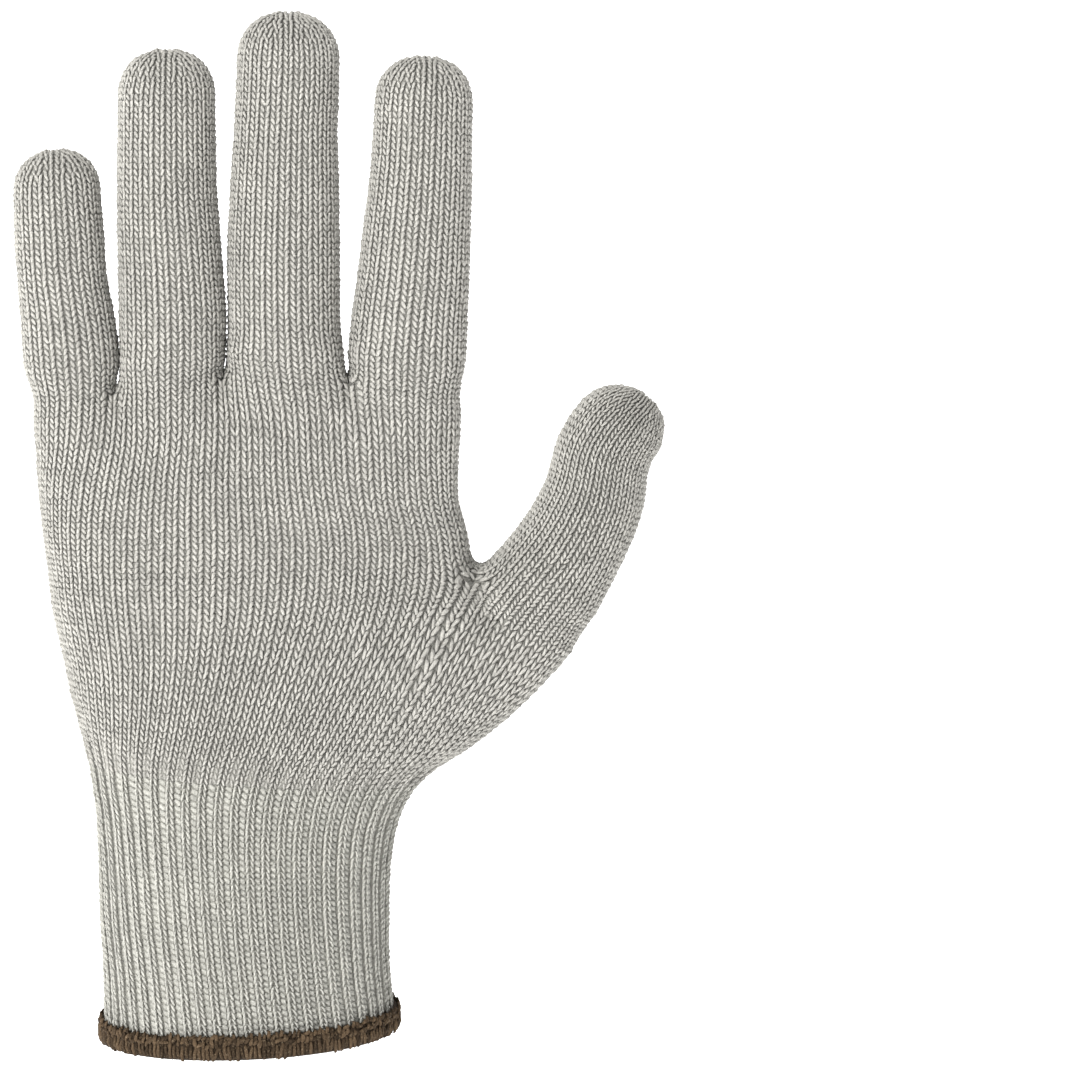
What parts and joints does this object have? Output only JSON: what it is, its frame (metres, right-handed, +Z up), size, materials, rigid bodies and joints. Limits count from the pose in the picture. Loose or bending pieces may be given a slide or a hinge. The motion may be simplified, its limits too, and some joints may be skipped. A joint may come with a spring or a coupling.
{
  "type": "knit work glove",
  "caption": "Seamless knit work glove for the left hand with domed fingertips, a long rib cuff and an overcast edge.",
  "frame": {"origin": "centre of the wrist opening, level with the lowest point of the overcast edge", "axes": "+Z up the hand towards the fingertips, +X towards the thumb, +Y out of the palm of the hand, so the back of the hand faces -Y"},
  "size_m": [0.1559, 0.0538, 0.2465],
  "materials": {
    "grey_knit": "matt plain knit in light warm grey yarn",
    "grey_rib": "matt rib knit in light warm grey yarn",
    "brown_thread": "matt looped brown overcast thread"
  },
  "bodies": {
    "root": {"little_finger": "grey_knit", "ring_finger": "grey_knit", "middle_finger": "grey_knit", "index_finger": "grey_knit", "thumb": "grey_knit", "upper_palm": "grey_knit", "lower_palm": "grey_knit", "rib_cuff": "grey_rib", "cuff_edge": "brown_thread"}
  },
  "joints": []
}
